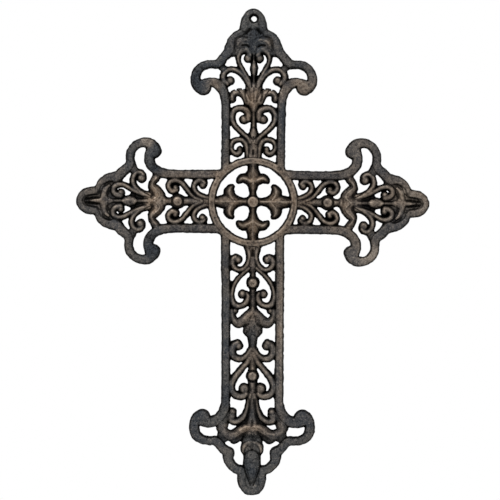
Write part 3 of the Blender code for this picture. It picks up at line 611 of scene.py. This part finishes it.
def lattice_noise(step, seed):
    """Smooth noise in -1..1 with the given wavelength in millimetres."""
    rng = np.random.default_rng(seed)
    grid = rng.uniform(-1, 1, (int((Y1 - Y0) / step) + 4, int((X1 - X0) / step) + 4))
    fy, fx = (ys - Y0) / step, (xs - X0) / step
    iy, ix = fy.astype(int), fx.astype(int)
    ty, tx = fy - iy, fx - ix
    ty, tx = (ty * ty * (3 - 2 * ty))[:, None], tx * tx * (3 - 2 * tx)
    rows = grid[iy] * (1 - ty) + grid[iy + 1] * ty
    return rows[:, ix] * (1 - tx) + rows[:, ix + 1] * tx


def layered(layers):
    return sum(size * lattice_noise(step, seed) for size, step, seed in layers)


def spot(x, y, across, along):
    """1 at a point of the plan, fading away from it."""
    return np.exp(-((plan_x - x) / across) ** 2 - ((plan_y - y) / along) ** 2)


def blur(field, radius):
    """A box blur run three times."""
    n = max(1, int(round(radius / GRID)))
    for _ in range(3):
        for axis in (0, 1):
            pad = [(n + 1, n) if k == axis else (0, 0) for k in (0, 1)]
            total = np.cumsum(np.pad(field, pad, mode="edge"), axis=axis)
            size = field.shape[axis]
            field = (total.take(range(2 * n + 1, 2 * n + 1 + size), axis)
                     - total.take(range(size), axis)) / (2 * n + 1)
    return field


def mean_height(radius):
    """The mean height round each point, with the openings left out."""
    mass = np.maximum(blur(solid.astype(float), radius), 1e-3)
    return blur(np.where(solid, height, 0), radius) / mass


solid = height > 0
softened = (1 - SOFTNESS) * height + SOFTNESS * mean_height(GRID)
height = np.where(solid & (inside > SOFT_INSIDE), softened, height)
groove, depths = BEAD_GROOVE
for *_, name, _, place in ARMS:
    for y in BEADS[name]:
        cut([place(*point) for point in circle(groove, y)], *depths)
    for line, reach, depth, shade_or_highlight in CUTS[name] + RIDGES:
        curve = smooth(line)
        for side in (1, -1) if curve[:, 0].any() else (1,):
            cut([place(side * x, y) for x, y in curve], reach, depth, shade_or_highlight)
lumps = layered(LUMPS) * (1 - SHAFT_SMOOTH * spot(*SHAFT_AREA))
height = height + np.where(height > EDGE_TOP, lumps, layered(WAVER))
height = np.minimum(height, PROUDEST)


# ---------------------------------------------------------------- mesh
NEAREST = 0.04  # the least share of a cell's side between an outline point and a grid point
BOX_GAP = 0.00001  # metres that the relief stays inside the box
SHARP_ANGLE = 50


def build_mesh():
    """The closed skin of the relief: its front, and a flat back that meets it at the outline."""
    ins = height > 0
    index = -np.ones(shape, int)
    index[ins] = np.arange(ins.sum())
    front = np.c_[plan_x[ins], height[ins], plan_y[ins]]
    rim, rim_at = [], {}

    def crossing(here, there):
        key = min(here, there), max(here, there)
        if key not in rim_at:
            (i0, j0), (i1, j1) = key
            a, b = height[i0, j0], height[i1, j1]
            t = min(max(a / (a - b), NEAREST), 1 - NEAREST)
            rim_at[key] = len(rim)
            rim.append((xs[j0] + t * (xs[j1] - xs[j0]), 0.0, ys[i0] + t * (ys[i1] - ys[i0])))
        return -2 - rim_at[key]

    a, b, c, d = ins[:-1, :-1], ins[:-1, 1:], ins[1:, 1:], ins[1:, :-1]
    whole = a & b & c & d
    i, j = np.nonzero(whole)
    p, q, r, s = index[i, j], index[i, j + 1], index[i + 1, j + 1], index[i + 1, j]
    hp, hq, hr, hs = height[i, j], height[i, j + 1], height[i + 1, j + 1], height[i + 1, j]
    even = (np.abs(hp - hr) <= np.abs(hq - hs))[:, None]
    cells = [np.where(even, np.c_[p, q, r], np.c_[p, q, s]),
             np.where(even, np.c_[p, r, s], np.c_[q, r, s])]
    edge_faces = []
    for i, j in zip(*np.nonzero((a | b | c | d) & ~whole)):
        corners = ((i, j), (i, j + 1), (i + 1, j + 1), (i + 1, j))
        state = [ins[k] for k in corners]
        loop = []
        for k in range(4):
            here, there = corners[k], corners[(k + 1) % 4]
            if state[k]:
                loop.append(index[here])
            if state[k] != state[(k + 1) % 4]:
                loop.append(crossing(here, there))
        if len(loop) == 6 and state[0] == state[2] != state[1]:
            loop = loop[-1:] + loop[:-1] if state[0] else loop
            edge_faces += [tuple(loop[:3]), tuple(loop[3:])]
        else:
            edge_faces += [(loop[0], loop[k], loop[k + 1]) for k in range(1, len(loop) - 1)]
    n, m = len(front), len(rim)
    edge_faces = np.array(edge_faces)
    edge_faces = np.where(edge_faces < -1, n - 2 - edge_faces, edge_faces)
    faces = np.vstack(cells + [edge_faces])
    back = front * (1, 0, 1)
    behind = np.where(faces >= n, faces, faces + n + m)[:, ::-1]
    return np.vstack([front, np.array(rim), back]), np.vstack([faces, behind])


points, faces = build_mesh()
points[:, 2] -= RING_TO_HOLE
points = np.c_[points[:, 0], -points[:, 1], points[:, 2]] * MM
mesh = bpy.data.meshes.new("cross_casting")
mesh.from_pydata(points.tolist(), [], faces.tolist())
mesh.update()
casting = bpy.data.objects.new("cross_casting", mesh)
bpy.context.scene.collection.objects.link(casting)
thin = casting.modifiers.new("thin", "DECIMATE")
thin.ratio = min(1.0, TRIANGLES / len(faces))
bpy.context.view_layer.update()
thinned = casting.evaluated_get(bpy.context.evaluated_depsgraph_get())
final = bpy.data.meshes.new_from_object(thinned)
casting.modifiers.remove(thin)
casting.data = final
co = np.empty(len(final.vertices) * 3)
final.vertices.foreach_get("co", co)
co = co.reshape(-1, 3)
co = np.clip(co, np.array(cad_box[0]) + BOX_GAP, np.array(cad_box[1]) - (BOX_GAP, 0, BOX_GAP))
final.vertices.foreach_set("co", co.ravel())
final.update()
print("casting faces", len(faces), "->", len(final.polygons))

# ---------------------------------------------------------------- finish, with painted shade and highlights
# Brown rubbed and lighter places: (plan x, plan y, reach in x, reach in y, brown, light)
PATCHES = [
    (0, 0, 55, 55, 0.8, 0.0), (0, 0, 6, 6, 0.4, 0.4), (0, 0, 40, 40, 0.25, 0.0),
    (26, -115, 4, 55, 0.8, 0.15), (27, -125, 1.3, 60, 0.3, 0.35), (0, -80, 16, 45, 0.6, 0),
    (0, -150, 16, 35, 0.5, 0), (0, -212, 22, 7, 0.6, -0.05), (0, 93, 14, 14, 0.9, 0.1),
    (0, 70, 16, 22, 0.5, 0), (22, 112, 12, 14, 0.4, 0), (-80, 0, 26, 18, 0.7, 0),
    (-60, 25, 30, 6, 0.45, 0.1), (-100, 0, 20, 12, 0.4, 0), (90, 0, 45, 30, 0.6, 0),
    (160, 0, 12, 14, 0.8, 0.2), (110, -50, 16, 14, 0.6, 0.6), (100, 52, 14, 14, 0.35, 0.15),
    (-97, 56, 7, 6, 0.7, 0.5), (140, 12, 16, 12, 0.4, 0.2), (52, 105, 12, 12, 0.5, 0.1),
    (36, 100, 10, 8, 0.5, 0.1), (-36, 98, 8, 8, 0.5, 0.1), (-140, 20, 20, 14, 0.3, 0.1),
    (-130, -24, 18, 12, 0.25, 0.1), (40, -200, 12, 9, 0.2, 0), (0, -238, 9, 16, -0.5, -0.12),
    (0, 150, 6, 10, -0.4, -0.1), (14, 147, 5, 6, 0.5, 0.1), (-14, 147, 5, 6, 0.4, 0.1),
    (-140, 0, 14, 6, 0.4, 0.0), (0, 160, 16, 14, -0.35, -0.12), (-88, 47, 6, 8, -0.6, -0.25),
    (-88, -45, 6, 8, -0.6, -0.2), (-91, 33, 5, 7, -0.5, -0.25), (-94, -33, 6, 7, -0.5, -0.25),
    (-88, 0, 10, 14, 0.6, 0.1), (-53, 112, 7, 14, -0.4, -0.1), (-36, 110, 9, 5, 0.6, 0.15),
    (42, 112, 9, 5, 0.6, 0.15), (25, 97, 4, 8, 0.6, 0.2), (-28, 85, 3, 30, -0.5, -0.15),
    (-27, -175, 4, 22, -0.4, -0.15), (0, -208, 14, 4, 0.35, 0.0), (-112, 0, 8, 5, 0, -0.1),
    (-30, 60, 3, 30, -0.5, -0.1), (30, 70, 3, 30, -0.5, -0.1), (-138, 0, 24, 20, 0.1, 0.08),
    (140, 0, 24, 20, 0.12, 0.08), (-25, -115, 4, 60, -0.1, 0.1), (-24, 75, 4, 32, 0, 0.1),
    (0, -227, 11, 4, 0.45, -0.08), (0, -243, 7, 12, -0.3, 0.12), (0, -217, 8, 4, -0.5, -0.3),
    (0, -123, 8, 10, -0.4, -0.12),
]
BROWN_BASE = 0.08
BROWN_COVERED = 0.45  # the share of the brown that shows on what nothing rubs
NARROW_REACH, NARROW = 4.0, (0.4, 0.2)  # the outlines of openings with this much iron round them get painted shade
SHADED_RIM = 0.3, 1.4
# Crests standing above their surroundings are lightened: partly rubbed wear, partly a painted
# highlight
PROUD_REACH, PROUD_HEIGHT, PROUD_RUB = 1.0, 0.7, (0.3, 0.2)

brown = BROWN_BASE + layered(BROWNING)
light = layered(LIGHTENING)
for *area, more_brown, more_light in PATCHES:
    near = spot(*area)
    brown += more_brown * near
    light += more_light * near
# Painted shade: black along the outlines round the enclosed openings
enclosed = fade(blur(solid.astype(float), NARROW_REACH), *NARROW)
rim_unshaded = fade(inside, *SHADED_RIM)
unshaded = unshaded * np.where(rim_unshaded < 1, 1 - (1 - rim_unshaded) * enclosed, 1)
proud = (np.clip((height - mean_height(PROUD_REACH)) / PROUD_HEIGHT, -1, 1)
         * fade(blur(rubbed, 0.5), *PROUD_RUB))

fx = np.clip((co[:, 0] / MM - X0) / GRID, 0, shape[1] - 1.001)
fy = np.clip((co[:, 2] / MM + RING_TO_HOLE - Y0) / GRID, 0, shape[0] - 1.001)
ix, iy = fx.astype(int), fy.astype(int)
tx, ty = fx - ix, fy - iy


def sample(field):
    """The field of the grid at each vertex."""
    low = field[iy, ix] * (1 - tx) + field[iy, ix + 1] * tx
    high = field[iy + 1, ix] * (1 - tx) + field[iy + 1, ix + 1] * tx
    return low * (1 - ty) + high * ty


brown = brown * (BROWN_COVERED + (1 - BROWN_COVERED) * blur(rubbed, 0.8))
MASKS = {"unshaded": np.clip(unshaded, 0, 1), "brown": np.clip(brown, 0, 1),
         "light": np.clip(light, -1, 1), "proud": proud}
# The flat back is evenly dull, whatever the front has there
BACK = {"unshaded": 0.8, "brown": 0.12, "light": -0.1, "proud": 0.0}
BACK_DEPTH = 0.0001
behind = co[:, 1] > -BACK_DEPTH
for name, field in MASKS.items():
    layer = final.attributes.new(name, "FLOAT", "POINT")
    layer.data.foreach_set("value", np.where(behind, BACK[name], sample(field)).astype(np.float32))
final.shade_smooth()
final.set_sharp_from_angle(angle=math.radians(SHARP_ANGLE))


SHADE_BLACK = (0.004, 0.004, 0.004)
COOL_DARK, COOL_LIGHT = (0.047, 0.054, 0.063), (0.088, 0.087, 0.085)
RUB_DARK, RUB_LIGHT = (0.120, 0.086, 0.061), (0.285, 0.210, 0.150)
PALE, SOOT, WORN_AND_HIGHLIGHT = (0.3, 0.26, 0.22), (0.012, 0.012, 0.013), (0.37, 0.305, 0.245)
SPREAD = 0.3, 0.7  # the range in which a noise texture mostly lies
METALLIC = 0.92
GRAZING_TINT = (0.25, 0.25, 0.25, 1)
ROUGH, SMOOTH = 0.62, 0.5
BUMP_STRENGTH, BUMP_DISTANCE, MOTTLE_BUMP = 0.5, 0.0005, 1.4


def cast_iron():
    """Dark blue-grey sand-cast iron, brown where it is rubbed, with painted shade black in its
    recesses.
    """
    material = bpy.data.materials.new("cast_iron_rubbed")
    material.use_nodes = True
    nodes, links = material.node_tree.nodes, material.node_tree.links
    shader = nodes["Principled BSDF"]

    def node(kind, **values):
        made = nodes.new(kind)
        for key, value in values.items():
            setattr(made, key, value)
        return made

    def attribute(name):
        return node("ShaderNodeAttribute", attribute_name=name).outputs["Fac"]

    def math_node(operation, a, b, clamp=False):
        made = node("ShaderNodeMath", operation=operation, use_clamp=clamp)
        for socket, value in zip(made.inputs, (a, b)):
            if isinstance(value, (int, float)):
                socket.default_value = value
            else:
                links.new(value, socket)
        return made.outputs[0]

    def remap(value, low, high, to_low=0.0, to_high=1.0):
        made = node("ShaderNodeMapRange", interpolation_type="SMOOTHSTEP")
        links.new(value, made.inputs["Value"])
        numbers = {"From Min": low, "From Max": high, "To Min": to_low, "To Max": to_high}
        for key, number in numbers.items():
            made.inputs[key].default_value = number
        return made.outputs["Result"]

    def noise(scale, detail, roughness=0.55):
        made = node("ShaderNodeTexNoise")
        made.inputs["Scale"].default_value = scale
        made.inputs["Detail"].default_value = detail
        made.inputs["Roughness"].default_value = roughness
        links.new(coordinates.outputs["Object"], made.inputs["Vector"])
        return made.outputs["Fac"]

    def mix(factor, a, b):
        made = node("ShaderNodeMix", data_type="RGBA")
        links.new(factor, made.inputs["Factor"])
        for socket, value in ((made.inputs[6], a), (made.inputs[7], b)):
            if isinstance(value, tuple):
                socket.default_value = (*value, 1)
            else:
                links.new(value, socket)
        return made.outputs[2]

    coordinates = node("ShaderNodeTexCoord")
    patches = noise(45, 3)
    mottle = noise(260, 4, 0.65)
    grain = noise(620, 3, 0.7)
    sand = noise(1150, 2, 0.6)
    full = attribute("unshaded")
    warm = math_node("MULTIPLY", attribute("brown"), remap(patches, *SPREAD, 0.6, 1.3), clamp=True)
    cool = mix(remap(patches, 0.35, 0.65), COOL_DARK, COOL_LIGHT)
    rub = mix(remap(mottle, *SPREAD), RUB_DARK, RUB_LIGHT)
    body = mix(warm, cool, rub)
    lift = math_node("ADD", attribute("light"), remap(mottle, *SPREAD, -0.2, 0.16))
    lift = math_node("ADD", lift, remap(grain, *SPREAD, -0.28, 0.22))
    lift = math_node("ADD", lift, remap(sand, *SPREAD, -0.28, 0.24))
    body = mix(remap(lift, 0.0, 0.8), body, PALE)
    body = mix(remap(lift, 0.0, -0.6), body, SOOT)
    # Lighter on the crests: partly rubbed wear, partly a painted highlight
    crests = remap(attribute("proud"), 0.15, 0.8)
    wear_and_highlight = math_node("MULTIPLY", crests, remap(mottle, 0.4, 0.7, 0.3, 0.75))
    body = mix(wear_and_highlight, body, WORN_AND_HIGHLIGHT)
    # Painted shade: black where the unshaded share is low
    links.new(mix(full, SHADE_BLACK, body), shader.inputs["Base Color"])
    shader.inputs["Metallic"].default_value = METALLIC
    shader.inputs["Specular Tint"].default_value = GRAZING_TINT
    links.new(remap(mottle, *SPREAD, ROUGH, SMOOTH), shader.inputs["Roughness"])

    bump = node("ShaderNodeBump")
    bump.inputs["Strength"].default_value = BUMP_STRENGTH
    bump.inputs["Distance"].default_value = BUMP_DISTANCE
    rough = math_node("ADD", grain, math_node("MULTIPLY", mottle, MOTTLE_BUMP))
    links.new(rough, bump.inputs["Height"])
    links.new(bump.outputs["Normal"], shader.inputs["Normal"])
    return material


final.materials.clear()
final.materials.append(cast_iron())
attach(casting, "root")
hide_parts("cross")

# ---------------------------------------------------------------- studio
WHITE = (1, 1, 1, 1)
# The light of the room, weaker from below: the heights of direction and the strengths there
ROOM = {"From Min": -0.9, "From Max": 0.9, "To Min": 0.25, "To Max": 1.15}
FLOOR_SIZE, FLOOR_DROP = 1.2, 0.25
FLOOR_COLOR, FLOOR_ROUGHNESS = (0.86, 0.86, 0.85), 0.8
CENTRE = (0, 0, -0.215)
# Lights, aimed at the centre: (name, place, size, watts)
LIGHTS = [("key", (-0.7, -1.1, 1.1), 0.7, 14), ("fill", (1.2, -1.2, 0.1), 1.2, 3)]

bpy.context.scene.view_settings.view_transform = "Standard"
world = bpy.data.worlds.new("studio")
bpy.context.scene.world = world
world.use_nodes = True
nodes, links = world.node_tree.nodes, world.node_tree.links
background = nodes["Background"]
background.inputs["Color"].default_value = WHITE
background.inputs["Strength"].default_value = 1.0
soft = nodes.new("ShaderNodeBackground")
soft.inputs["Color"].default_value = WHITE
direction = nodes.new("ShaderNodeTexCoord")
split = nodes.new("ShaderNodeSeparateXYZ")
links.new(direction.outputs["Generated"], split.inputs[0])
ramp = nodes.new("ShaderNodeMapRange")
links.new(split.outputs["Z"], ramp.inputs["Value"])
for key, number in ROOM.items():
    ramp.inputs[key].default_value = number
links.new(ramp.outputs["Result"], soft.inputs["Strength"])
seen = nodes.new("ShaderNodeLightPath")
choose = nodes.new("ShaderNodeMixShader")
links.new(seen.outputs["Is Camera Ray"], choose.inputs[0])
links.new(soft.outputs[0], choose.inputs[1])
links.new(background.outputs[0], choose.inputs[2])
links.new(choose.outputs[0], nodes["World Output"].inputs["Surface"])


def plain(name, color, roughness):
    material = bpy.data.materials.new(name)
    material.use_nodes = True
    shader = material.node_tree.nodes["Principled BSDF"]
    shader.inputs["Base Color"].default_value = (*color, 1)
    shader.inputs["Roughness"].default_value = roughness
    return material


floor_z = cad_box[0][2] - FLOOR_DROP
floor_corners = [(x * FLOOR_SIZE, y * FLOOR_SIZE, floor_z)
                 for x, y in ((-1, -1), (1, -1), (1, 1), (-1, 1))]
floor_mesh = bpy.data.meshes.new("floor")
floor_mesh.from_pydata(floor_corners, [], [(0, 1, 2, 3)])
floor_mesh.materials.append(plain("pale_floor", FLOOR_COLOR, FLOOR_ROUGHNESS))
floor = bpy.data.objects.new("floor", floor_mesh)
bpy.context.scene.collection.objects.link(floor)


def area_light(name, at, target, size, power):
    data = bpy.data.lights.new(name, "AREA")
    data.size = size
    data.energy = power
    light = bpy.data.objects.new(name, data)
    light.location = at
    light.rotation_euler = (Vector(target) - Vector(at)).to_track_quat("-Z", "Y").to_euler()
    bpy.context.scene.collection.objects.link(light)


for name, at, size, watts in LIGHTS:
    area_light(name, at, CENTRE, size, watts)

# ---------------------------------------------------------------- camera
FRAME_WIDTH = 0.4622
LENS = 200.0
SENSOR = 36.0
FAR = 20
# The centre of the view from the ring's centre, the relief's mean depth, and the camera's roll
VIEW_X, VIEW_Z, RELIEF_DEPTH = -0.00243, -0.04435, 0.004
ROLL = -0.33
camera_data = bpy.data.cameras.new("camera")
camera_data.lens = LENS
camera_data.sensor_width = SENSOR
camera_data.clip_end = FAR
distance = FRAME_WIDTH * LENS / SENSOR
camera = bpy.data.objects.new("camera", camera_data)
camera.location = (VIEW_X, -distance - RELIEF_DEPTH, -RING_TO_HOLE * MM + VIEW_Z)
camera.rotation_euler = (math.radians(90), math.radians(ROLL), 0)
bpy.context.scene.collection.objects.link(camera)
bpy.context.scene.camera = camera
